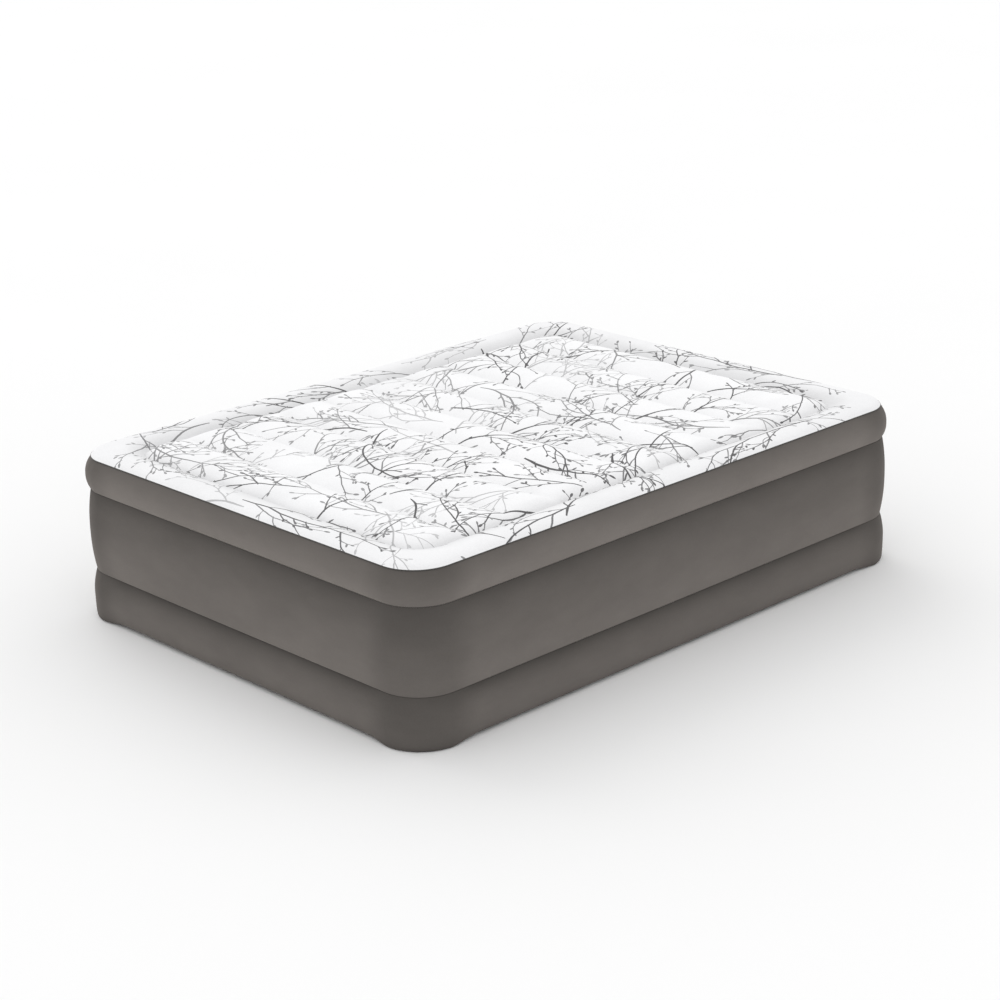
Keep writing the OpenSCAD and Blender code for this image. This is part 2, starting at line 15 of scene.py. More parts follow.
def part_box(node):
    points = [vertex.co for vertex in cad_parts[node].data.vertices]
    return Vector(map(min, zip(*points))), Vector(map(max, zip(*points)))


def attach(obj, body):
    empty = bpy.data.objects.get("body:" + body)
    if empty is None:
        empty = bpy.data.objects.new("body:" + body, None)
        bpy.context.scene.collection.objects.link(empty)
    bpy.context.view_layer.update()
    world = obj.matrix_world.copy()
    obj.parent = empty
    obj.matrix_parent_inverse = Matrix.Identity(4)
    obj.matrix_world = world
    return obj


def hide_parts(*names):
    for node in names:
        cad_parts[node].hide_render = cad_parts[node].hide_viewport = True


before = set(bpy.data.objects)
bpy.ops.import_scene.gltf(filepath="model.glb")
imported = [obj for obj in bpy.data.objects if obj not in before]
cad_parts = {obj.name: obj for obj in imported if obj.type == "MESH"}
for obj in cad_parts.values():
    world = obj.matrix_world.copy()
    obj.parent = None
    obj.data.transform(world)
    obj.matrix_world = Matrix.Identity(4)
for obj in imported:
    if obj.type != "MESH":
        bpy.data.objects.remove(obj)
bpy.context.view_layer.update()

# ---- Sizes shared by the soft pieces ---------------------------------------------------------

MID_LO, MID_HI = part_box("middle_side_band")
UP_LO, UP_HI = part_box("upper_side_band")
BEZEL_LO, BEZEL_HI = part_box("pump_bezel")
KNOB_LO, KNOB_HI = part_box("selector_knob")

BULGE_ROOM = 0.0006  # from the bands' widest bulge to the CAD's
HALF_W = MID_HI.x - BULGE_ROOM
HALF_L = MID_HI.y - BULGE_ROOM
CORNER_R = 0.140
SEAM_HALF = 0.0015
TOP_INSET = HALF_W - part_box("top_sheet")[1].x
TOP_SEAM_Z = UP_HI.z + SEAM_HALF
UPPER_WAIST_Z = UP_LO.z - SEAM_HALF
LOWER_WAIST_Z = MID_LO.z - SEAM_HALF
WAIST_INSET = 0.013
WAIST_GAP = 0.0005
MID_BOTTOM, MID_TOP = LOWER_WAIST_Z + WAIST_GAP, UPPER_WAIST_Z - WAIST_GAP
BULGE_POWER = 2.2

PUMP_X, PUMP_Z = (BEZEL_LO.x + BEZEL_HI.x) / 2, (BEZEL_LO.z + BEZEL_HI.z) / 2
KNOB_X, KNOB_Z = (KNOB_LO.x + KNOB_HI.x) / 2, (KNOB_LO.z + KNOB_HI.z) / 2
WINDOW_W, WINDOW_H = 0.236, 0.162


# ---- Small helpers ---------------------------------------------------------------------------

def smooth(a, b, x):
    """0 below a, 1 above b, with a soft step between."""
    t = np.clip((np.asarray(x, float) - a) / (b - a), 0, 1)
    return t * t * (3 - 2 * t)


def noise_at(points):
    """Smooth noise from -1 to 1 at each row of points."""
    return np.array([noise.noise(Vector(p)) for p in points])


def plan_noise(x, y, scale, level):
    """Smooth noise over the plan, with scale as its detail per metre; each level is another pattern."""
    points = np.stack([x, y], 1) * scale
    return noise_at(np.column_stack([points, np.full(len(x), level)]))


def new_mesh(name, verts, faces, body="mattress", smooth_shaded=True):
    mesh = bpy.data.meshes.new(name)
    mesh.from_pydata([tuple(v) for v in verts], [], [tuple(f) for f in faces])
    mesh.update()
    mesh.polygons.foreach_set("use_smooth", [smooth_shaded] * len(mesh.polygons))
    obj = bpy.data.objects.new(name, mesh)
    bpy.context.scene.collection.objects.link(obj)
    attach(obj, body)
    return obj


def finish_piece(obj, material, slot, *nodes):
    """Gives a piece its material and hides the CAD nodes it stands for; the slot is not used."""
    obj.data.materials.clear()
    obj.data.materials.append(material)
    if nodes:
        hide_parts(*nodes)


def write_vectors(mesh, name, values, domain="FACE"):
    attribute = mesh.attributes.new(name, "FLOAT_VECTOR", domain)
    attribute.data.foreach_set("vector", values.astype(np.float32).ravel())


def write_floats(mesh, name, values, domain="FACE"):
    attribute = mesh.attributes.new(name, "FLOAT", domain)
    attribute.data.foreach_set("value", values.astype(np.float32))


# ---- Materials -------------------------------------------------------------------------------

SIDE_COLOUR = (0.144, 0.131, 0.121)
TOP_COLOUR = (0.93, 0.93, 0.94)
INK_COLOUR = (0.062, 0.060, 0.062)
LINE_SLOTS = 4
BUD_SLOTS = 2


class Nodes:
    """Short way to wire one procedural material."""

    def __init__(self, name, colour, roughness, metallic=0.0, sheen=0.0, sheen_rough=0.5,
                 specular=0.5, coat=0.0):
        self.mat = bpy.data.materials.new(name)
        self.mat.use_nodes = True
        self.tree = self.mat.node_tree
        self.tree.nodes.clear()
        self.out = self.add("ShaderNodeOutputMaterial")
        self.bsdf = self.add("ShaderNodeBsdfPrincipled")
        self.link(self.bsdf.outputs[0], self.out.inputs["Surface"])
        self.put("Base Color", (*colour, 1))
        self.put("Roughness", roughness)
        self.put("Metallic", metallic)
        self.put("Sheen Weight", sheen)
        self.put("Sheen Roughness", sheen_rough)
        self.put("Specular IOR Level", specular)
        self.put("Coat Weight", coat)
        self.coords = self.add("ShaderNodeTexCoord")

    def add(self, kind, **settings):
        node = self.tree.nodes.new(kind)
        for key, value in settings.items():
            setattr(node, key, value)
        return node

    def link(self, a, b):
        self.tree.links.new(a, b)

    def put(self, socket, value):
        if isinstance(value, bpy.types.NodeSocket):
            self.link(value, self.bsdf.inputs[socket])
        else:
            self.bsdf.inputs[socket].default_value = value

    def math(self, operation, a, b=None):
        node = self.add("ShaderNodeMath", operation=operation)
        for i, value in enumerate((a, b)):
            if isinstance(value, bpy.types.NodeSocket):
                self.link(value, node.inputs[i])
            elif value is not None:
                node.inputs[i].default_value = value
        return node.outputs[0]

    def stored(self, name, output="Fac"):
        """What the mesh carries under this name."""
        return self.add("ShaderNodeAttribute", attribute_name=name).outputs[output]

    def stretched(self, scale):
        mapping = self.add("ShaderNodeMapping")
        self.link(self.coords.outputs["Object"], mapping.inputs["Vector"])
        mapping.inputs["Scale"].default_value = scale
        return mapping.outputs["Vector"]

    def noise(self, scale, detail, rough, vector=None):
        node = self.add("ShaderNodeTexNoise")
        node.inputs["Scale"].default_value = scale
        node.inputs["Detail"].default_value = detail
        node.inputs["Roughness"].default_value = rough
        self.link(vector or self.coords.outputs["Object"], node.inputs["Vector"])
        return node.outputs[0]

    def ramp(self, factor, stops):
        node = self.add("ShaderNodeValToRGB")
        while len(node.color_ramp.elements) < len(stops):
            node.color_ramp.elements.new(0.5)
        for element, (place, colour) in zip(node.color_ramp.elements, stops):
            element.position = place
            element.color = (*colour, 1)
        self.link(factor, node.inputs[0])
        return node.outputs[0]

    def grey(self, factor, low, high):
        """Rescales a noise value, which is mostly 0.3 to 0.7, to low to high."""
        node = self.add("ShaderNodeMapRange")
        node.inputs["To Min"].default_value = low
        node.inputs["To Max"].default_value = high
        node.inputs["From Min"].default_value = 0.3
        node.inputs["From Max"].default_value = 0.7
        self.link(factor, node.inputs["Value"])
        return node.outputs[0]

    def mix(self, factor, a, b, blend="MIX"):
        node = self.add("ShaderNodeMix", data_type="RGBA", blend_type=blend)
        for socket, value in ((node.inputs[0], factor), (node.inputs[6], a), (node.inputs[7], b)):
            if isinstance(value, bpy.types.NodeSocket):
                self.link(value, socket)
            elif hasattr(value, "__len__"):
                socket.default_value = (*value, 1)
            else:
                socket.default_value = value
        return node.outputs[2]

    def bump(self, *layers):
        """Layers of (height socket, strength, distance), finest last."""
        normal = None
        for height, strength, distance in layers:
            node = self.add("ShaderNodeBump")
            node.inputs["Strength"].default_value = strength
            node.inputs["Distance"].default_value = distance
            self.link(height, node.inputs["Height"])
            if normal is not None:
                self.link(normal, node.inputs["Normal"])
            normal = node.outputs[0]
        self.put("Normal", normal)


def tint(colour, factor):
    return tuple(min(1.0, c * factor) for c in colour)


def evenly(value):
    return (value, value, value)


def flock(name, colour, spread, sheen):
    """Short velvet pile: blotchy lay, fine fibres and a soft sheen at grazing angles."""
    m = Nodes(name, colour, 0.92, sheen=sheen, sheen_rough=0.42, specular=0.12)
    m.put("Sheen Tint", (*tint(colour, 2.4), 1))
    lay = m.noise(5.5, 5, 0.6, m.stretched((1, 1, 2.2)))
    pile = m.noise(240, 3, 0.7)
    fibre = m.noise(1400, 2, 0.6)
    base = m.ramp(lay, [(0.30, tint(colour, 1 - spread)), (0.52, colour), (0.74, tint(colour, 1 + spread))])
    speck = m.ramp(pile, [(0.25, evenly(0.90)), (0.75, evenly(1.0))])
    m.colour = m.mix(1.0, base, speck, "MULTIPLY")
    m.put("Base Color", m.colour)
    m.put("Roughness", m.grey(pile, 0.84, 0.98))
    m.bump((lay, 0.10, 0.004), (pile, 0.22, 0.0006), (fibre, 0.25, 0.0003))
    return m


def side_flock():
    """Taupe pile, its colour multiplied by the painted shade that each band stores on its mesh."""
    m = flock("side_flock_taupe", SIDE_COLOUR, 0.07, 0.30)
    m.put("Base Color", m.mix(1.0, m.colour, m.stored("painted_shade"), "MULTIPLY"))
    return m.mat


def printed_flock():
    """White pile with the twig print that the top mesh carries as per-face line equations."""
    m = flock("top_flock_printed", TOP_COLOUR, 0.035, 0.10)
    here = m.stored("print_place", "Vector")

    def across(name):
        """Distance from a stored line, as a share of the mark's half-width."""
        dot = m.add("ShaderNodeVectorMath", operation="DOT_PRODUCT")
        m.link(m.stored(name, "Vector"), dot.inputs[0])
        m.link(here, dot.inputs[1])
        return m.math("ABSOLUTE", dot.outputs["Value"])

    marks = []
    for k in range(LINE_SLOTS):
        inside = m.math("LESS_THAN", across(f"line_{k}"), 1.0)
        marks.append(m.math("MULTIPLY", inside, m.stored(f"line_tone_{k}")))
    for k in range(BUD_SLOTS):
        along, side = (m.math("POWER", across(f"bud_{way}_{k}"), 2.0) for way in ("long", "wide"))
        inside = m.math("LESS_THAN", m.math("ADD", along, side), 1.0)
        marks.append(m.math("MULTIPLY", inside, m.stored(f"bud_tone_{k}")))
    ink = marks[0]
    for mark in marks[1:]:
        ink = m.math("MAXIMUM", ink, mark)
    # The white ground is darkened by the painted shade that the top mesh stores.
    ground = m.mix(1.0, m.colour, m.stored("painted_shade"), "MULTIPLY")
    worn = m.math("MULTIPLY", ink, m.grey(m.noise(420, 3, 0.7), 0.86, 1.0))
    m.put("Base Color", m.mix(worn, ground, INK_COLOUR))
    return m.mat


def moulded(name, colour, roughness, grain=520, depth=0.00022, specular=0.45, coat=0.0):
    """Spark-textured injection moulding with faint flow marks and handling sheen."""
    m = Nodes(name, colour, roughness, specular=specular, coat=coat)
    flow = m.noise(14, 4, 0.6)
    skin = m.noise(grain, 4, 0.65)
    tone = m.ramp(flow, [(0.3, tint(colour, 0.86)), (0.7, tint(colour, 1.14))])
    fleck = m.ramp(skin, [(0.3, evenly(0.88)), (0.7, evenly(1.0))])
    m.put("Base Color", m.mix(1.0, tone, fleck, "MULTIPLY"))
    m.put("Roughness", m.grey(m.noise(60, 4, 0.6), roughness - 0.07, roughness + 0.08))
    m.bump((flow, 0.05, 0.001), (skin, 0.35, depth))
    return m.mat


def vinyl(name, colour, roughness, cell=420):
    """Calendered vinyl film with a pebbled grain."""
    m = Nodes(name, colour, roughness, specular=0.4)
    cells = m.add("ShaderNodeTexVoronoi")
    cells.inputs["Scale"].default_value = cell
    m.link(m.coords.outputs["Object"], cells.inputs["Vector"])
    haze = m.noise(9, 5, 0.6)
    m.put("Base Color", m.ramp(haze, [(0.3, tint(colour, 0.85)), (0.7, tint(colour, 1.15))]))
    m.put("Roughness", m.grey(haze, roughness - 0.06, roughness + 0.10))
    m.bump((haze, 0.08, 0.003), (cells.outputs["Distance"], 0.30, 0.0003))
    return m.mat


def steel(name, colour, roughness, lines=(40, 900, 40)):
    """Brushed metal: long fine scratches along one direction."""
    m = Nodes(name, colour, roughness, metallic=1.0)
    scratch = m.noise(1.0, 5, 0.7, m.stretched(lines))
    m.put("Base Color", m.ramp(scratch, [(0.3, tint(colour, 0.82)), (0.7, tint(colour, 1.1))]))
    m.put("Roughness", m.grey(scratch, roughness - 0.08, roughness + 0.14))
    m.bump((scratch, 0.15, 0.0001))
    return m.mat


def rubber(name, colour):
    m = Nodes(name, colour, 0.78, specular=0.3)
    bloom = m.noise(70, 5, 0.65)
    m.put("Base Color", m.ramp(bloom, [(0.35, tint(colour, 0.8)), (0.7, tint(colour, 1.5))]))
    m.put("Roughness", m.grey(bloom, 0.70, 0.88))
    m.bump((m.noise(900, 3, 0.6), 0.25, 0.0002))
    return m.mat


# ---- Winter-twig print -----------------------------------------------------------------------

# A pair is the low and high end of a random draw, unless it is marked as one value for each level.
SEED = 11
BRANCHES = 72
BRANCH_LENGTHS = (0.26, 0.66)
BRANCH_CURLS = (0.5, 3.2)
DARK_SHARE, DARK_OR_MIDDLE_SHARE = 0.50, 0.80
DARK, MIDDLE, PALE = 1.0, 0.78, 0.48
TRIES, LOOK_AHEAD, LOOK_STEPS = 60, 0.42, 8

STROKE_STEP = 0.004
WANDER = 0.022
TWIG_HALF_WIDTHS = (0.0036, 0.0026, 0.0020)  # by level
WIDTH_SPREAD = (0.8, 1.2)
BASE_WIDTH, WIDENING, TAPER = 0.6, 4, 0.60
FREE_STEPS = 6

FORK_GAPS = (0.050, 0.034, 0.026)  # by level
FIRST_GAP, NEXT_GAP = (0.5, 1.3), (0.5, 1.6)
FORK_CHANCES = (0.85, 0.55)  # by level
OTHER_SIDE_CHANCE = 0.7
RECOIL = (0.03, 0.26)
FORK_ANGLES = (0.50, 1.05)
FORK_SHARES = (0.35, 0.8)
SHORTEST_FORK, FORK_REACHES = 0.035, (0.30, 0.12)  # reaches by level
FORK_CURLS = (0.5, 7.0)
FORK_FADE = (0.8, 1.0)

BUD_LENGTH, BUD_WIDTH = 0.0088, 0.0034
BUD_CHANCE, BUD_STALK = 0.6, 0.8
TIP_BUD_SIZES = (0.8, 1.25)

CROWD_CELL, CROWD_LIMIT = 0.030, 3
INK_CELL = 0.05
OUTSIDE_LOAD, AROUND_LOAD = 0.5, 0.4
FACE_MARGIN = 1.08
FAR_OFF = 9.0  # offset of a slot that no mark uses, in half-widths


class Twigs:
    """Grows forked branches over the top and keeps them as short straight samples."""

    def __init__(self, seed, half_w, half_l):
        self.rng = np.random.default_rng(seed)
        self.half_w, self.half_l = half_w, half_l
        self.samples = []
        self.buds = []
        self.count = 0
        self.crowd = {}
        self.ink = np.zeros((int(2 * half_w / INK_CELL) + 3, int(2 * half_l / INK_CELL) + 3))

    def either_way(self, chance=0.5):
        """1 with this chance, otherwise -1."""
        return 1 if self.rng.random() < chance else -1

    def crowded(self, x, y, stroke):
        """True where other strokes already fill this patch of the print."""
        patch = self.crowd.setdefault((int(x // CROWD_CELL), int(y // CROWD_CELL)), set())
        full = len(patch - {stroke}) >= CROWD_LIMIT
        patch.add(stroke)
        return full

    def ink_cell(self, x, y):
        """Cell of the coarse ink map at x, y, or None outside the top."""
        if abs(x) > self.half_w or abs(y) > self.half_l:
            return None
        return int((x + self.half_w) / INK_CELL) + 1, int((y + self.half_l) / INK_CELL) + 1

    def load_at(self, x, y):
        """Ink in and around one cell; ground outside the top counts as half full."""
        cell = self.ink_cell(x, y)
        if cell is None:
            return OUTSIDE_LOAD * self.ink.max()
        i, j = cell
        return self.ink[i, j] + AROUND_LOAD * self.ink[i - 1:i + 2, j - 1:j + 2].mean()

    def emptiest_start(self):
        """Base and heading of the try whose path crosses the emptiest ground."""
        rng = self.rng
        best = None
        for _ in range(TRIES):
            x, y = rng.uniform(-self.half_w, self.half_w), rng.uniform(-self.half_l, self.half_l)
            heading = rng.uniform(0, 2 * math.pi)
            c, n = math.cos(heading), math.sin(heading)
            path = np.linspace(0, LOOK_AHEAD, LOOK_STEPS)
            load = sum(self.load_at(x + r * c, y + r * n) for r in path)
            if best is None or load < best[0]:
                best = (load, (x, y), heading)
        return best[1:]

    def bud(self, place, angle, tone, size=1.0):
        self.buds.append((*place, angle, tone, size))

    def mark(self, x, y, angle, half, tone, stroke):
        self.samples.append((x, y, angle, half, tone, stroke))
        cell = self.ink_cell(x, y)
        if cell is not None:
            self.ink[cell] += half * tone

    def fork(self, place, angle, room, level, tone, side):
        """A side twig that curls back, no longer than its level allows, or now and then a bud."""
        rng = self.rng
        if level < len(FORK_CHANCES) and rng.random() < FORK_CHANCES[level]:
            reach = min(max(room * rng.uniform(*FORK_SHARES), SHORTEST_FORK), FORK_REACHES[level])
            faded = tone * rng.uniform(*FORK_FADE)
            self.grow(place, angle, reach, level + 1, faded, -side * rng.uniform(*FORK_CURLS))
        elif rng.random() < BUD_CHANCE:
            x, y = place
            offset = BUD_LENGTH * BUD_STALK
            self.bud((x + offset * math.cos(angle), y + offset * math.sin(angle)), angle, tone)

    def grow(self, place, angle, length, level, tone, curl):
        """One stroke with its forks: level 0 is a branch, 1 and 2 are its twigs."""
        rng = self.rng
        self.count += 1
        stroke = self.count
        steps = max(5, int(length / STROKE_STEP))
        width = TWIG_HALF_WIDTHS[level] * rng.uniform(*WIDTH_SPREAD)
        gap = FORK_GAPS[level]
        to_fork = gap * rng.uniform(*FIRST_GAP)
        side = self.either_way()
        x, y = place
        for i in range(steps):
            share = i / steps
            half = width * min(1.0, BASE_WIDTH + WIDENING * share) * (1 - TAPER * share)
            self.mark(x, y, angle, half, tone, stroke)
            angle += curl * STROKE_STEP + rng.normal(0, WANDER)
            x += STROKE_STEP * math.cos(angle)
            y += STROKE_STEP * math.sin(angle)
            if self.crowded(x, y, stroke) and level > 0 and i > FREE_STEPS:
                break
            to_fork -= STROKE_STEP
            if to_fork > 0:
                continue
            to_fork = gap * rng.uniform(*NEXT_GAP)
            side *= -self.either_way(OTHER_SIDE_CHANCE)
            angle -= side * rng.uniform(*RECOIL)
            off = angle + side * rng.uniform(*FORK_ANGLES)
            self.fork((x, y), off, length * (1 - share), level, tone, side)
        self.bud((x, y), angle, tone, rng.uniform(*TIP_BUD_SIZES))

    def cover(self):
        rng = self.rng
        for _ in range(BRANCHES):
            place, angle = self.emptiest_start()
            pick, length = rng.random(), rng.uniform(*BRANCH_LENGTHS)
            curl = rng.uniform(*BRANCH_CURLS) * self.either_way()
            tone = DARK if pick < DARK_SHARE else (MIDDLE if pick < DARK_OR_MIDDLE_SHARE else PALE)
            self.grow(place, angle, length, 0, tone, curl)


def line_equation(x, y, angle, scale):
    """(nx, ny, c) / scale of the line through (x, y) along angle."""
    nx, ny = -math.sin(angle), math.cos(angle)
    return nx / scale, ny / scale, (nx * x + ny * y) / scale


def face_strokes(samples, tree, sizes):
    """For each face, the nearest sample of every stroke that may cross it."""
    strokes = [{} for _ in sizes]
    biggest = sizes.max()
    for x, y, angle, half, tone, stroke in samples:
        for _, face, distance in tree.find_range((x, y, 0), biggest + half):
            if distance > sizes[face] + half:
                continue
            kept = strokes[face].get(stroke)
            if kept is None or distance < kept[0]:
                strokes[face][stroke] = (distance, x, y, angle, half, tone)
    return strokes


def write_lines(mesh, strokes):
    """Stores the boldest strokes of each face."""
    lines = np.zeros((LINE_SLOTS, len(strokes), 3))
    lines[:, :, 2] = FAR_OFF
    tones = np.zeros((LINE_SLOTS, len(strokes)))
    for face, found in enumerate(strokes):
        boldest = sorted(found.values(), key=lambda f: -f[4] * f[5])[:LINE_SLOTS]
        for k, (_, x, y, angle, half, tone) in enumerate(boldest):
            lines[k, face] = line_equation(x, y, angle, half)
            tones[k, face] = tone
    for k in range(LINE_SLOTS):
        write_vectors(mesh, f"line_{k}", lines[k])
        write_floats(mesh, f"line_tone_{k}", tones[k])


def write_buds(mesh, buds, tree, sizes):
    """Stores the buds of each face as ovals, each from a line along it and a line across it."""
    longs, wides = np.zeros((2, BUD_SLOTS, len(sizes), 3))
    longs[:, :, 2] = wides[:, :, 2] = FAR_OFF
    tones = np.zeros((BUD_SLOTS, len(sizes)))
    used = np.zeros(len(sizes), int)
    biggest = sizes.max()
    for x, y, angle, tone, size in buds:
        reach = BUD_LENGTH * size
        for _, face, distance in tree.find_range((x, y, 0), biggest + reach):
            k = used[face]
            if k >= BUD_SLOTS or distance > sizes[face] + reach:
                continue
            used[face] += 1
            longs[k, face] = line_equation(x, y, angle + math.pi / 2, reach)
            wides[k, face] = line_equation(x, y, angle, BUD_WIDTH * size)
            tones[k, face] = tone
    for k in range(BUD_SLOTS):
        write_vectors(mesh, f"bud_long_{k}", longs[k])
        write_vectors(mesh, f"bud_wide_{k}", wides[k])
        write_floats(mesh, f"bud_tone_{k}", tones[k])


def print_twigs(mesh, twigs, flat, quads):
    """Gives each face of the top the line equations of the strokes and buds that cross it."""
    write_vectors(mesh, "print_place", np.column_stack([flat, -np.ones(len(flat))]), "POINT")
    centres = flat[quads].mean(axis=1)
    sizes = FACE_MARGIN * np.linalg.norm(flat[quads] - centres[:, None], axis=2).max(axis=1)
    tree = KDTree(len(centres))
    for i, c in enumerate(centres):
        tree.insert((c[0], c[1], 0), i)
    tree.balance()
    write_lines(mesh, face_strokes(twigs.samples, tree, sizes))
    write_buds(mesh, twigs.buds, tree, sizes)


# ---- Printed top -----------------------------------------------------------------------------

# PUCKERS, SWAYS and STITCHES are detail per metre. Insets are measured in from the widest bulge.
TOP_CELL = 0.0063
INNER_CORNER = 0.22
CORNER_BLEND = (0.03, 0.12)
MITRE = 0.08
PUCKERS_ALONG, PUCKERS_ACROSS = 34, 6
SWAYS = 3.1
STITCHES = (30, 7)

GROOVE_INSET, GROOVE_SWAY = 0.147, 0.0035
GROOVE_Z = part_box("rim_tie")[1].z + 0.0020
RIM_CREST, RIM_LEAN, RIM_ROUNDNESS = 0.0185, 0.88, 0.72
GROOVE_PUCKER_RUN, SEAM_PUCKER_RUN, SEAM_PUCKER_SHARE = 0.020, 0.018, 0.7
PUCKER_DEPTH = 0.0013

BEAM_COUNT = 10
BED_HALF_L = 0.865
BEAM_PITCH = 2 * BED_HALF_L / BEAM_COUNT
BED_EDGE_RUN, BED_EDGE_POWER, BED_GROOVE_LIFT = 0.052, 0.85, 0.004
BEAM_RISE, BEAM_POWER, BEAM_SWAY = 0.0200, 2.3, 0.02
BEAM_EDGE_FILL, BEAM_EDGE_FADE = 0.85, 0.06
DIMPLE_WIDTH, STITCH_DEPTH, BED_SWAY = 0.22, 0.0010, 0.0009

# Strengths of the painted shade: in the groove inside the rim, in the grooves between beams and over the
# rim.
GROOVE_SHADE, BEAM_SHADE, RIM_SHADE = 0.19, 0.05, 0.045
SHADE_START, SHADE_FADE = 0.01, 0.012
RIM_SAMPLES = 240


def rounded_inset(ax, ay, r):
    """Distance in from a rounded rectangle of corner radius r, from the distances to its sides."""
    corner = r - np.hypot(np.maximum(r - ax, 0), np.maximum(r - ay, 0))
    return np.where((ax < r) & (ay < r), corner, np.minimum(ax, ay))


def rim_height(d, groove, pucker):
    """Height of the raised rim between the seam and the groove."""
    t = np.clip((d - TOP_INSET) / (groove - TOP_INSET), 0, 1) ** RIM_LEAN
    chord = (TOP_SEAM_Z + SEAM_HALF) + (GROOVE_Z - TOP_SEAM_Z - SEAM_HALF) * t
    crown = np.clip(4 * t * (1 - t), 0, 1) ** RIM_ROUNDNESS
    near = np.exp(-np.abs(d - groove) / GROOVE_PUCKER_RUN)
    near = near + SEAM_PUCKER_SHARE * np.exp(-(d - TOP_INSET) / SEAM_PUCKER_RUN)
    return chord + RIM_CREST * crown + PUCKER_DEPTH * pucker * near * crown ** 0.5


def top_relief(x, y):
    """Height of the top, and its painted shade: darker down in the grooves, between the beams and a little
    over the rim.
    """
    ax, ay = HALF_W - np.abs(x), HALF_L - np.abs(y)
    outer = rounded_inset(ax, ay, CORNER_R)
    inner = rounded_inset(ax, ay, INNER_CORNER)
    d = outer + (inner - outer) * smooth(*CORNER_BLEND, outer)
    along_y = smooth(-MITRE, MITRE, ay - ax)
    across_bed = plan_noise(x, y, (PUCKERS_ALONG, PUCKERS_ACROSS), 0.0)
    along_bed = plan_noise(x, y, (PUCKERS_ACROSS, PUCKERS_ALONG), 3.0)
    pucker = across_bed * (1 - along_y) + along_bed * along_y
    sway = plan_noise(x, y, SWAYS, 7.0)
    stitch = plan_noise(x, y, STITCHES, 11.0)
    groove = GROOVE_INSET + GROOVE_SWAY * sway

    rise = np.sin(np.pi / 2 * np.clip((d - groove) / BED_EDGE_RUN, 0, 1)) ** BED_EDGE_POWER
    place = (y + BED_HALF_L) / BEAM_PITCH + BEAM_SWAY * sway
    u = 2 * (place - np.floor(place)) - 1
    on_beams = np.abs(y) < BED_HALF_L
    beam = np.where(on_beams, 1 - np.abs(u) ** BEAM_POWER, 0)
    beam = beam + (1 - beam) * BEAM_EDGE_FILL * np.exp(-np.maximum(d - groove, 0) / BEAM_EDGE_FADE)
    dimple = np.exp(-((1 - np.abs(u)) / DIMPLE_WIDTH)) * on_beams
    lift = BED_GROOVE_LIFT + BEAM_RISE * beam + STITCH_DEPTH * stitch * dimple + BED_SWAY * sway
    bed = GROOVE_Z + rise * lift

    # Painted shade: darker down the rim into the groove, in the grooves between beams and over the rim's
    # outer half.
    crest = (TOP_INSET + groove) / 2
    down_rim = smooth(crest - SHADE_START, groove, d)
    shade = 1 - GROOVE_SHADE * np.where(d < groove, down_rim, np.exp(-(d - groove) / SHADE_FADE))
    shade -= BEAM_SHADE * dimple * smooth(groove, groove + BED_EDGE_RUN, d)
    shade -= RIM_SHADE * (1 - smooth(crest, groove, d))
    return np.where(d < groove, rim_height(d, groove, pucker), bed), shade


def unrolled(x, y):
    """Places on the flat cloth: the rim's slopes are laid out flat, outward from the groove."""
    inset = np.linspace(TOP_INSET, GROOVE_INSET, RIM_SAMPLES)
    height, _ = top_relief(HALF_W - inset, np.zeros_like(inset))
    stretch = np.hypot(np.diff(inset), np.diff(height)) - np.diff(inset)
    extra = np.append(np.cumsum(stretch[::-1])[::-1], 0)
    ax, ay = HALF_W - np.abs(x), HALF_L - np.abs(y)
    d = rounded_inset(ax, ay, CORNER_R)
    tiny = 1e-5
    out_x = np.sign(x) * (rounded_inset(ax + tiny, ay, CORNER_R) - d) / tiny
    out_y = np.sign(y) * (rounded_inset(ax, ay + tiny, CORNER_R) - d) / tiny
    shift = np.interp(d, inset, extra)
    return np.column_stack([x + out_x * shift, y + out_y * shift])


def rounded_grid(half_x, half_y, r):
    """Grid points whose outermost rows follow a rounded rectangle, and the quads between them."""
    nx, ny = int(2 * half_x / TOP_CELL), int(2 * half_y / TOP_CELL)
    xs, ys = np.linspace(-half_x, half_x, nx + 1), np.linspace(-half_y, half_y, ny + 1)
    u, v = (grid.ravel() for grid in np.meshgrid(xs, ys, indexing="ij"))
    p = (np.abs(u) - (half_x - r)) / r
    q = (np.abs(v) - (half_y - r)) / r
    corner = (p > 0) & (q > 0)
    shrink = np.where(corner, np.maximum(p, q) / np.maximum(np.hypot(p, q), 1e-9), 1)
    x = np.where(corner, np.sign(u) * (half_x - r + r * p * shrink), u)
    y = np.where(corner, np.sign(v) * (half_y - r + r * q * shrink), v)
    index = np.arange((nx + 1) * (ny + 1)).reshape(nx + 1, ny + 1)
    round_each = (index[:-1, :-1], index[1:, :-1], index[1:, 1:], index[:-1, 1:])
    return x, y, np.stack(round_each, -1).reshape(-1, 4)


def make_top(material):
    x, y, quads = rounded_grid(HALF_W - TOP_INSET, HALF_L - TOP_INSET, CORNER_R - TOP_INSET)
    z, shade = top_relief(x, y)
    obj = new_mesh("top_cover", np.stack([x, y, z], 1).tolist(), quads.tolist())
    # Stores the painted shade of the grooves and the rim on the mesh.
    write_floats(obj.data, "painted_shade", shade, "POINT")
    flat = unrolled(x, y)
    twigs = Twigs(SEED, *np.abs(flat).max(axis=0))
    twigs.cover()
    print_twigs(obj.data, twigs, flat, quads)
    finish_piece(obj, material, "top_flock", "top_sheet")


# ---- Side bands ------------------------------------------------------------------------------

# SAGS, SWELLS, all FOLDS and all SWAYS are detail per metre. Insets are measured in from the widest bulge.
EDGE_STEP = 0.012
CORNER_STEPS = 26
QUARTER = CORNER_R * math.pi / 2
CORNER_NEAR, CORNER_FAR = 0.085, 0.20
CALM_NEAR, CALM_FAR, CALM_DEPTH_SCALE = 0.16, 0.30, 3

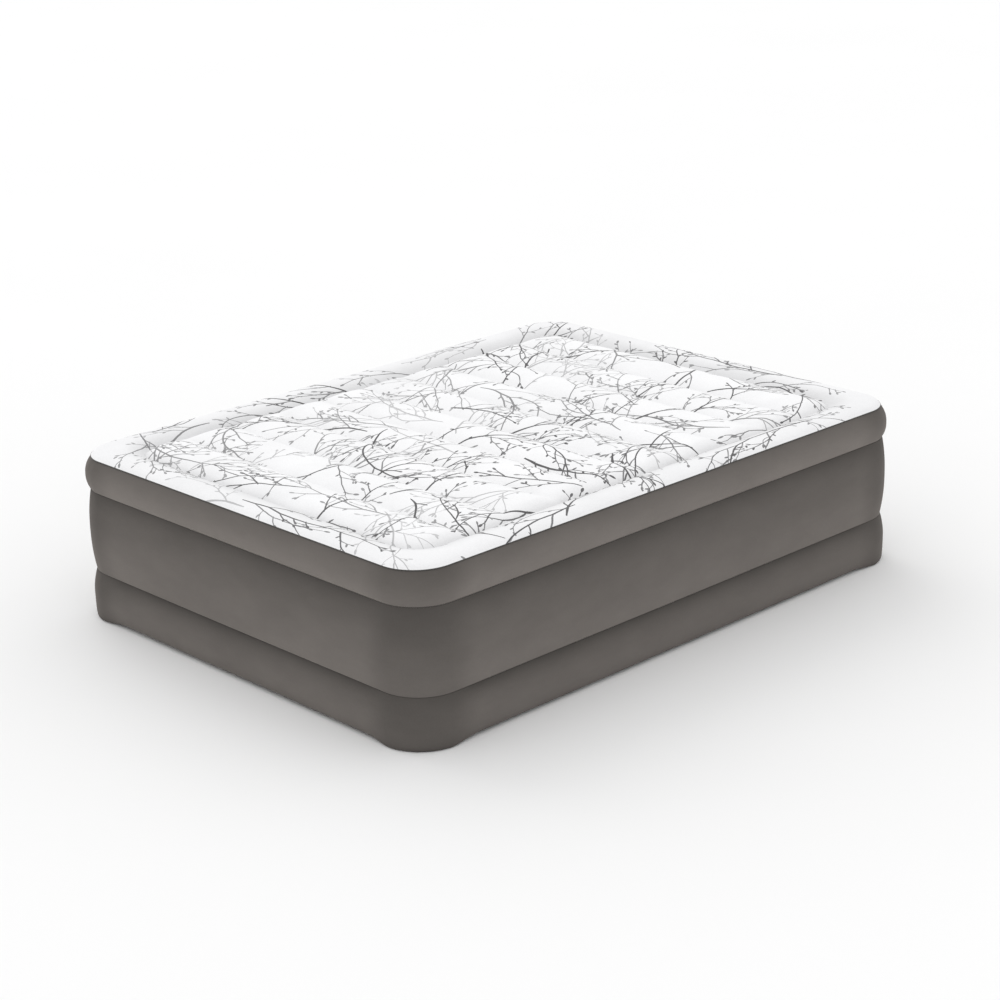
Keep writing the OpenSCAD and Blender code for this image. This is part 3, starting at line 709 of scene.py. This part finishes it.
WAIST_SAG, SAGS = 0.0012, 1.7
FOLD_HEIGHT, FOLD_RUN, FOLDS, FINE_FOLDS, FINE_SHARE = 0.0011, 0.022, 30, 55, 0.6
CORNER_FOLD_BOOST = 1.6
WELD_HOLD, LEAST_HOLD = 9, 0.02
SWELL, SWELLS = 0.0012, 2.2
FOOT_FADE, CREASE_FADE, CORNER_CREASE_LOSS = 0.016, 0.030, 0.75

UPPER_ROWS, MIDDLE_ROWS, LOWER_ROWS = 20, 34, 14
HEAD_MARGIN = 0.01

FLOOR_INSET_SIDE, FLOOR_INSET_CORNER, FLOOR_INSET_SWAY, INSET_SWAYS = 0.030, 0.007, 0.002, 3
FLOOR_LIFT_SIDE, FLOOR_LIFT_SWAY, LIFT_SWAYS = 0.0035, 0.0015, 2
FOOT_TOP = LOWER_WAIST_Z / 2
ROLL_POWER, ROLL_ROWS, ROLL_CLEARANCE = 3.0, 16, 0.0012
ROLL_FOLDS, ROLL_FOLD_HEIGHT, ROLL_FOLD_DECAY = 26, 0.0012, 3.0

WELD_PROUD, WELD_DEPTH, WELD_LAP, WELD_SIDES = 0.0008, 0.0018, 0.0003, 8
TOP_WELD_OUT, WAIST_WELD_IN, FLOOR_WELD_IN, FLOOR_WELD_UP = 0.0006, 0.0030, 0.001, 0.0016
BASE_STEPS = (0.008, 0.018, 0.032, 0.055, 0.080)
BASE_LIFT, BASE_FADE, BASE_FLAT = 0.0006, 0.014, 0.0001


class Outline:
    """Samples round the widest bulge: place, outward normal, arc length and nearness to a corner."""

    def __init__(self):
        run_x, run_y = HALF_W - CORNER_R, HALF_L - CORNER_R
        window = [PUMP_X - WINDOW_W / 2, PUMP_X + WINDOW_W / 2]
        sides = [
            ((HALF_W, 0), (0, 1), (1, 0), run_y, []),
            ((0, HALF_L), (-1, 0), (0, 1), run_x, [-x for x in window]),
            ((-HALF_W, 0), (0, -1), (-1, 0), run_y, []),
            ((0, -HALF_L), (1, 0), (0, -1), run_x, []),
        ]
        places, normals, arcs, to_corner = [], [], [], []
        walked = 0.0
        for k, (mid, way, out, run, must_have) in enumerate(sides):
            ts = np.linspace(-run, run, int(2 * run / EDGE_STEP) + 1)[:-1]
            for t in must_have:
                ts[np.argmin(np.abs(ts - t))] = t
            for t in ts:
                places.append((mid[0] + way[0] * t, mid[1] + way[1] * t))
                normals.append(out)
                arcs.append(walked + run + t)
                to_corner.append(QUARTER / 2 + (run - abs(t)))
            walked += 2 * run
            centre = (mid[0] + way[0] * run - out[0] * CORNER_R, mid[1] + way[1] * run - out[1] * CORNER_R)
            for i in range(CORNER_STEPS):
                angle = (k + i / CORNER_STEPS) * math.pi / 2
                n = (math.cos(angle), math.sin(angle))
                places.append((centre[0] + CORNER_R * n[0], centre[1] + CORNER_R * n[1]))
                normals.append(n)
                arcs.append(walked + QUARTER * i / CORNER_STEPS)
                to_corner.append(abs(QUARTER * (i / CORNER_STEPS - 0.5)))
            walked += QUARTER
        self.place = np.array(places)
        self.normal = np.array(normals)
        self.arc = np.array(arcs)
        self.corner = 1 - smooth(CORNER_NEAR, CORNER_FAR, np.array(to_corner))
        self.loop_radius = walked / (2 * math.pi)
        to_pump = np.hypot(self.place[:, 0] - PUMP_X, (self.place[:, 1] - HALF_L) * CALM_DEPTH_SCALE)
        self.calm = smooth(CALM_NEAR, CALM_FAR, to_pump)

    def wave(self, per_metre, seed):
        """Noise along the outline that closes on itself."""
        a = self.arc / self.loop_radius
        k = per_metre * self.loop_radius
        return noise_at(np.stack([k * np.cos(a), k * np.sin(a), np.full_like(a, seed)], 1))

    def ring(self, inset, z):
        inset = np.broadcast_to(inset, self.arc.shape)
        z = np.broadcast_to(z, self.arc.shape)
        xy = self.place - self.normal * inset[:, None]
        return np.concatenate([xy, z[:, None]], 1)


def sweep(name, outline, rows, skip=None, closed=False):
    """Skins rings given as (inset, z) pairs; skip(row, column) leaves a quad out."""
    verts = np.concatenate([outline.ring(inset, z) for inset, z in rows])
    n, m = len(outline.arc), len(rows)
    faces = []
    for r in range(m if closed else m - 1):
        for c in range(n):
            if skip is not None and skip(r, c):
                continue
            a, b = r * n + c, r * n + (c + 1) % n
            above = ((r + 1) % m) * n
            faces.append((a, b, above + (c + 1) % n, above + c))
    return new_mesh(name, verts.tolist(), faces)


def paint_band_shade(obj, outline, rows, mid, slope, crease, corner, foot=0.0):
    """Stores painted shade for the band: lighter low on it, darker just under the weld above, by the floor
    and at corners.
    """
    values = []
    top = np.mean(rows[-1][1])
    low = np.mean(rows[0][1])
    for _, z in rows:
        z = float(np.mean(z))
        t = (z - low) / (top - low)
        tone = mid + slope * (0.5 - t) - foot * math.exp(-(z - low) / FOOT_FADE)
        under = crease * math.exp(-(top - z) / CREASE_FADE)
        tone -= under * (1 - CORNER_CREASE_LOSS * outline.corner)
        values.append(tone * (1 - corner * outline.corner))
    write_floats(obj.data, "painted_shade", np.concatenate(values), "POINT")


def soft_rows(outline, low, high, crest_share, heights, seed, power=BULGE_POWER, only_top=False):
    """Rows of a band that bulges between two welds, with small folds that fade away from them."""
    (inset0, z0), (inset1, z1) = low, high
    ripples = outline.wave(FOLDS, seed) + FINE_SHARE * outline.wave(FINE_FOLDS, seed + 3)
    slow = outline.wave(SWELLS, seed + 5)
    boost = 1 + CORNER_FOLD_BOOST * outline.corner
    height = np.mean(z1 - z0)
    rows = []
    for t in heights:
        if t < crest_share:
            inset = inset0 * np.abs((crest_share - t) / crest_share) ** power
        else:
            inset = inset1 * np.abs((t - crest_share) / (1 - crest_share)) ** power
        near = np.exp(-(1 - t) * height / FOLD_RUN) + (0 if only_top else np.exp(-t * height / FOLD_RUN))
        hold = min(1.0, WELD_HOLD * (1 - t) * (1 if only_top else t) + LEAST_HOLD)
        ripple = FOLD_HEIGHT * near * ripples * boost * hold
        swell = 0.0 if only_top else SWELL * (1 + slow) * outline.calm * math.sin(math.pi * t)
        rows.append((inset + np.maximum(ripple, -inset) + swell, z0 + (z1 - z0) * t))
    return rows


def eased(n):
    """Row positions, closer together near both welds."""
    t = np.linspace(0, 1, n)
    return 0.5 * t + 0.5 * (0.5 - 0.5 * np.cos(math.pi * t))


def window_heights(count):
    """Row positions of the middle band that include the window's lower and upper edges."""
    t = eased(count)
    for z in (PUMP_Z - WINDOW_H / 2, PUMP_Z + WINDOW_H / 2):
        share = (z - MID_BOTTOM) / (MID_TOP - MID_BOTTOM)
        t[np.argmin(np.abs(t - share))] = share
    return t


def upper_band(outline, sag, material):
    low, high = (WAIST_INSET, UPPER_WAIST_Z + WAIST_GAP + sag), (TOP_INSET, TOP_SEAM_Z - SEAM_HALF)
    rows = soft_rows(outline, low, high, crest_share=0.45, heights=eased(UPPER_ROWS), seed=31)
    band = sweep("upper_band", outline, rows)
    # Painted shade on this band: lighter low down, darker under the weld above and at corners.
    paint_band_shade(band, outline, rows, mid=1.23, slope=0.60, crease=0.04, corner=0.22)
    finish_piece(band, material, "side_flock", "upper_side_band")


def middle_band(outline, sag_low, sag_high, material):
    """The tallest band, with the pump's window left out."""
    heights = window_heights(MIDDLE_ROWS)
    low, high = (WAIST_INSET, MID_BOTTOM + sag_low), (WAIST_INSET, MID_TOP + sag_high)
    rows = soft_rows(outline, low, high, crest_share=0.5, heights=heights, seed=41)
    x_place, y_place = outline.place[:, 0], outline.place[:, 1]

    def in_window(r, c):
        x = 0.5 * (x_place[c] + x_place[(c + 1) % len(x_place)])
        z = MID_BOTTOM + 0.5 * (heights[r] + heights[r + 1]) * (MID_TOP - MID_BOTTOM)
        at_head = y_place[c] > HALF_L - HEAD_MARGIN
        return at_head and abs(x - PUMP_X) < WINDOW_W / 2 and abs(z - PUMP_Z) < WINDOW_H / 2

    band = sweep("middle_band", outline, rows, in_window)
    # Painted shade on this band: lighter low down, darker under the weld above and at corners.
    paint_band_shade(band, outline, rows, mid=1.02, slope=0.52, crease=0.26, corner=0.20)
    finish_piece(band, material, "side_flock", "middle_side_band")


def lower_band(outline, sag, inset, lift, material):
    """Band that rolls in under the bed at the floor."""
    low, high = (0, FOOT_TOP), (WAIST_INSET, LOWER_WAIST_Z - WAIST_GAP + sag)
    top_rows = soft_rows(outline, low, high, crest_share=0.02, heights=eased(LOWER_ROWS), seed=51,
                         power=2.0, only_top=True)
    folds = outline.wave(ROLL_FOLDS, seed=71)
    roll = []
    for t in np.linspace(0, 1, ROLL_ROWS)[:-1]:
        angle = math.pi / 2 * (1 - t)
        z = lift + ROLL_CLEARANCE + (FOOT_TOP - lift) * (1 - math.sin(angle) ** (2 / ROLL_POWER))
        d = inset * (1 - math.cos(angle) ** (2 / ROLL_POWER))
        near = math.exp(-ROLL_FOLD_DECAY * t)
        roll.append((d + ROLL_FOLD_HEIGHT * folds * near * (1 + outline.corner), z))
    rows = roll + top_rows
    band = sweep("lower_band", outline, rows)
    # Painted shade on this band: lighter low down, darker under the weld above, at corners and darkest in
    # the roll by the floor.
    paint_band_shade(band, outline, rows, mid=1.07, slope=0.28, crease=0.50, corner=0.27, foot=0.45)
    finish_piece(band, material, "side_flock", "lower_side_band")


def weld_ring(name, outline, inset, z, material, node):
    """Thin bead along a seam, a little proud of it."""
    half = SEAM_HALF + WELD_LAP
    rows = [(inset - WELD_PROUD * math.cos(a) + WELD_DEPTH * (1 - math.cos(a)) / 2, z + half * math.sin(a))
            for a in np.linspace(-math.pi, math.pi, WELD_SIDES + 1)[:-1]]
    finish_piece(sweep(name, outline, rows, closed=True), material, "seam_weld", node)


def base_sheet(outline, inset, lift, material):
    """Bottom film: a few rings that settle from the floor weld, and one flat face inside them."""
    rows = [(inset, lift + BASE_LIFT)]
    rows += [(inset + d, lift * math.exp(-d / BASE_FADE) + BASE_FLAT) for d in BASE_STEPS]
    sheet = sweep("base_sheet", outline, rows[::-1])
    bm = bmesh.new()
    bm.from_mesh(sheet.data)
    bm.verts.ensure_lookup_table()
    bm.faces.new([bm.verts[i] for i in reversed(range(len(outline.arc)))])
    bmesh.ops.recalc_face_normals(bm, faces=bm.faces)
    bm.to_mesh(sheet.data)
    bm.free()
    finish_piece(sheet, material, "base_film", "bottom_sheet")


def make_bands(mats):
    outline = Outline()
    side = 1 - outline.corner
    sag_high = WAIST_SAG * outline.wave(SAGS, seed=21) * outline.calm
    sag_low = WAIST_SAG * outline.wave(SAGS, seed=25) * outline.calm
    inset = FLOOR_INSET_SIDE + (FLOOR_INSET_CORNER - FLOOR_INSET_SIDE) * outline.corner
    inset = inset + FLOOR_INSET_SWAY * outline.wave(INSET_SWAYS, seed=61)
    lift = FLOOR_LIFT_SIDE * side + FLOOR_LIFT_SWAY * side * outline.wave(LIFT_SWAYS, seed=63)
    lift = np.maximum(lift, 0.0)

    upper_band(outline, sag_high, mats["side"])
    middle_band(outline, sag_low, sag_high, mats["side"])
    lower_band(outline, sag_low, inset, lift, mats["side"])
    waist = WAIST_INSET + WAIST_WELD_IN
    weld_ring("top_piping", outline, TOP_INSET - TOP_WELD_OUT, TOP_SEAM_Z, mats["weld"], "top_seam")
    weld_ring("upper_waist_weld", outline, waist, UPPER_WAIST_Z + sag_high, mats["side_weld"],
              "upper_waist_seam")
    weld_ring("lower_waist_weld", outline, waist, LOWER_WAIST_Z + sag_low, mats["side_weld"],
              "lower_waist_seam")
    weld_ring("floor_weld", outline, inset + FLOOR_WELD_IN, lift + FLOOR_WELD_UP, mats["weld"],
              "floor_seam")
    base_sheet(outline, inset, lift, mats["base"])


# ---- Pump ------------------------------------------------------------------------------------

EDGE_WIDTHS = {
    "pump_bezel": 0.0009, "cord_door": 0.0006, "selector_knob": 0.0007, "rocker_switch": 0.0005,
    "switch_body": 0.0004, "air_grille": 0.0003, "pump_collar": 0.0006, "clamp_screws": 0.00025,
}
WINDOW_CORNER_R = 0.012
CORNER_POINTS, SIDE_POINTS = 8, 14
BEAD_W, BEAD_H, BEAD_SINK, BEAD_SIDES = 0.0045, 0.0018, 0.0005, 10
MARK_BEVEL = 0.00012
MARK_PROUD, MARK_SINK = 0.00025, 0.0002
POINTER_R, POINTER_OUTER, POINTER_INNER, POINTER_SIDES = 0.0011, 0.0155, 0.0095, 16
POINTER_PROUD, POINTER_SINK = 0.0002, 0.0003
STOPS = (-60, 0, 60)
TICK_OUTER_R, TICK_INNER_R, TICK_HALF_ANGLE, TICK_POINTS = 0.0402, 0.0382, 0.09, 7


def add_bevel(obj, width):
    bevel = obj.modifiers.new("edge", "BEVEL")
    bevel.width = width
    bevel.segments = 2
    return bevel


def soften(node, width):
    """Rounds the edges of one CAD node."""
    bevel = add_bevel(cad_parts[node], width)
    bevel.limit_method = "ANGLE"
    bevel.angle_limit = math.radians(40)
    bevel.harden_normals = False


def dress(nodes, material):
    for node in nodes:
        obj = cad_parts[node]
        obj.data.materials.clear()
        obj.data.materials.append(material)


def rounded_loop(w, h, r):
    """Points (x, z, nx, nz) round a rectangle with round corners, close together along its sides too."""
    signs = ((1, 1), (-1, 1), (-1, -1), (1, -1))

    def on_corner(k, a):
        sx, sz = signs[k % 4]
        return (sx * (w / 2 - r) + r * math.cos(a), sz * (h / 2 - r) + r * math.sin(a))

    points = []
    for k in range(4):
        for i in range(CORNER_POINTS + 1):
            a = (k + i / CORNER_POINTS) * math.pi / 2
            points.append((*on_corner(k, a), math.cos(a), math.sin(a)))
        a = (k + 1) * math.pi / 2
        (x0, z0), (x1, z1) = on_corner(k, a), on_corner(k + 1, a)
        for i in range(1, SIDE_POINTS):
            t = i / SIDE_POINTS
            points.append((x0 + (x1 - x0) * t, z0 + (z1 - z0) * t, math.cos(a), math.sin(a)))
    return points


def band_depth(z):
    """How far the middle band's surface lies inside the widest bulge at height z."""
    half = (UPPER_WAIST_Z - LOWER_WAIST_Z) / 2
    u = abs(z - (UPPER_WAIST_Z + LOWER_WAIST_Z) / 2) / half
    return WAIST_INSET * u ** BULGE_POWER


def window_trim(material):
    """Rounded weld bead that covers the cut edge of the band round the pump."""
    verts, faces = [], []
    path = rounded_loop(WINDOW_W, WINDOW_H, WINDOW_CORNER_R)
    for x, z, nx, nz in path:
        y = HALF_L - band_depth(PUMP_Z + z) - BEAD_SINK
        for i in range(BEAD_SIDES):
            a = 2 * math.pi * i / BEAD_SIDES
            out, up = BEAD_W * math.cos(a), BEAD_H * math.sin(a)
            verts.append((PUMP_X + x + nx * out, y + up, PUMP_Z + z + nz * out))
    n = len(path)
    for c in range(n):
        for i in range(BEAD_SIDES):
            a, b = c * BEAD_SIDES + i, c * BEAD_SIDES + (i + 1) % BEAD_SIDES
            d = ((c + 1) % n) * BEAD_SIDES
            faces.append((a, b, d + (i + 1) % BEAD_SIDES, d + i))
    finish_piece(new_mesh("window_trim", verts, faces), material, "seam_weld")


def flat_mark(name, points, front, back, material, body="mattress"):
    """Thin raised mark: an outline in X and Z, between two depths."""
    n = len(points)
    verts = [(x, front, z) for x, z in points] + [(x, back, z) for x, z in points]
    faces = [tuple(range(n))[::-1], tuple(range(n, 2 * n))]
    faces += [(i, (i + 1) % n, n + (i + 1) % n, n + i) for i in range(n)]
    obj = new_mesh(name, verts, faces, body, smooth_shaded=False)
    add_bevel(obj, MARK_BEVEL)
    finish_piece(obj, material, "knob_plastic")


def dial_marks(material):
    """Pointer on the selector's grip, and three ticks on the panel at its stops."""
    grip = KNOB_HI.y
    pointer = []
    for a in np.linspace(0, 2 * math.pi, POINTER_SIDES + 1)[:-1]:
        middle = POINTER_OUTER if math.sin(a) > 0 else POINTER_INNER
        pointer.append((KNOB_X + POINTER_R * math.cos(a), KNOB_Z + middle + POINTER_R * math.sin(a)))
    flat_mark("knob_pointer", pointer, grip + POINTER_PROUD, grip - POINTER_SINK, material, "selector")
    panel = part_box("air_grille")[0].y
    for k, turn in enumerate(STOPS):
        middle = math.radians(90 + turn)
        arc = np.linspace(-TICK_HALF_ANGLE, TICK_HALF_ANGLE, TICK_POINTS)
        edge = [(TICK_OUTER_R, middle + a) for a in arc] + [(TICK_INNER_R, middle + a) for a in arc[::-1]]
        tick = [(KNOB_X + r * math.cos(a), KNOB_Z + r * math.sin(a)) for r, a in edge]
        flat_mark(f"panel_tick_{k + 1}", tick, panel + MARK_PROUD, panel - MARK_SINK, material)


def make_pump(mats):
    dress(["pump_collar"], mats["collar"])
    dress(["pump_bezel", "air_grille", "cord_door"], mats["bezel"])
    dress(["selector_knob"], mats["knob"])
    dress(["rocker_switch", "switch_body"], mats["switch"])
    dress(["bezel_gasket", "shaft_seal", "cord_grommet", "motor_ring", "outlet_flap"], mats["rubber"])
    dress(["clamp_screws", "housing_screws", "door_hinge_pins", "flap_hinge_pin", "motor_shaft"],
          mats["screw"])
    dress(["clamp_ring", "cord_well", "pump_housing", "valve_chamber", "fan_volute", "fan_back_plate",
           "motor_cradle", "outlet_duct", "selector_shaft", "selector_drum", "impeller"], mats["inner"])
    dress(["motor"], mats["motor"])
    dress(["pump_wiring"], mats["wire"])
    for node, width in EDGE_WIDTHS.items():
        soften(node, width)
    window_trim(mats["weld"])
    dial_marks(mats["mark"])


# ---- Stage -----------------------------------------------------------------------------------

CAMERA_AZIMUTH, CAMERA_ELEVATION, CAMERA_ROLL = (math.radians(a) for a in (46.24, 19.41, -1.344))
CAMERA_DISTANCE = 7.162
CAMERA_LENS = 84.30
CAMERA_TARGET = Vector((-0.0509, 0.0667, 0.2385))
FLOOR_HALF, FLOOR_DROP = 70, 0.0005
FLOOR_COLOUR, FLOOR_PATCHES = evenly(0.90), evenly(0.91)
SUN_FROM, SUN_STRENGTH, SUN_SPREAD = (-4.8, 1.0, 3.6), 0.55, math.radians(50)


def place_in_scene(name, data):
    obj = bpy.data.objects.new(name, data)
    bpy.context.scene.collection.objects.link(obj)
    return obj


def make_camera():
    a, e, roll = CAMERA_AZIMUTH, CAMERA_ELEVATION, CAMERA_ROLL
    back = Vector((math.sin(a) * math.cos(e), -math.cos(a) * math.cos(e), math.sin(e)))
    level = Vector((math.cos(a), math.sin(a), 0))
    upright = back.cross(level)
    right = level * math.cos(roll) + upright * math.sin(roll)
    up = upright * math.cos(roll) - level * math.sin(roll)
    data = bpy.data.cameras.new("camera")
    data.lens = CAMERA_LENS
    data.sensor_width = 36
    data.clip_start, data.clip_end = 0.1, 200
    camera = place_in_scene("camera", data)
    place = CAMERA_TARGET + back * CAMERA_DISTANCE
    camera.matrix_world = Matrix((
        (right.x, up.x, back.x, place.x),
        (right.y, up.y, back.y, place.y),
        (right.z, up.z, back.z, place.z),
        (0, 0, 0, 1),
    ))
    bpy.context.scene.camera = camera


def make_sun():
    """Very soft light from one side, the same over the whole floor."""
    data = bpy.data.lights.new("key", "SUN")
    data.energy = SUN_STRENGTH
    data.angle = SUN_SPREAD
    sun = place_in_scene("key", data)
    sun.location = SUN_FROM
    sun.rotation_mode = "QUATERNION"
    sun.rotation_quaternion = Vector(SUN_FROM).to_track_quat("Z", "Y")


def make_floor():
    mesh = bpy.data.meshes.new("floor")
    mesh.from_pydata([(x * FLOOR_HALF, y * FLOOR_HALF, 0) for x, y in ((-1, -1), (1, -1), (1, 1), (-1, 1))],
                     [], [(0, 1, 2, 3)])
    floor = place_in_scene("floor", mesh)
    floor.location.z = -FLOOR_DROP
    paint = Nodes("floor_paint", FLOOR_COLOUR, 0.85, specular=0.1)
    patches = paint.noise(0.6, 3, 0.55)
    paint.put("Base Color", paint.ramp(patches, [(0.3, FLOOR_COLOUR), (0.7, FLOOR_PATCHES)]))
    mesh.materials.append(paint.mat)


def make_world():
    """Even white light, as bright as the floor under it, so that no horizon shows."""
    world = bpy.data.worlds.new("studio")
    world.use_nodes = True
    world.node_tree.nodes["Background"].inputs[0].default_value = (1, 1, 1, 1)
    world.node_tree.nodes["Background"].inputs[1].default_value = 1.0
    bpy.context.scene.world = world
    bpy.context.scene.view_settings.view_transform = "Standard"


# ---- Build -----------------------------------------------------------------------------------

def make_materials():
    return {
        "side": side_flock(),
        "side_weld": flock("side_weld_taupe", tint(SIDE_COLOUR, 0.75), 0.07, 0.3).mat,
        "weld": vinyl("weld_vinyl", (0.050, 0.046, 0.043), 0.5, 700),
        "base": vinyl("base_vinyl", (0.060, 0.060, 0.064), 0.48),
        "tie": vinyl("tie_vinyl", (0.62, 0.62, 0.60), 0.42, 300),
        "collar": vinyl("collar_vinyl", (0.055, 0.053, 0.052), 0.5, 600),
        "bezel": moulded("bezel_plastic", (0.052, 0.051, 0.052), 0.52),
        "knob": moulded("knob_plastic", (0.030, 0.030, 0.032), 0.42),
        "mark": moulded("mark_paint", (0.62, 0.62, 0.60), 0.5, 700),
        "switch": moulded("switch_plastic", (0.014, 0.014, 0.015), 0.22, 900, 0.00006, 0.55, 0.4),
        "rubber": rubber("seal_rubber", evenly(0.022)),
        "screw": steel("screw_steel", (0.62, 0.62, 0.63), 0.30),
        "inner": moulded("inner_plastic", (0.40, 0.40, 0.39), 0.48),
        "motor": steel("motor_steel", (0.45, 0.46, 0.48), 0.34, (900, 30, 900)),
        "wire": moulded("wire_insulation", (0.42, 0.030, 0.026), 0.36),
        "top": printed_flock(),
    }


def main():
    mats = make_materials()
    make_top(mats["top"])
    make_bands(mats)
    dress([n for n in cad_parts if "tie" in n or "diaphragm" in n], mats["tie"])
    make_pump(mats)
    make_camera()
    make_floor()
    make_world()
    make_sun()


main()
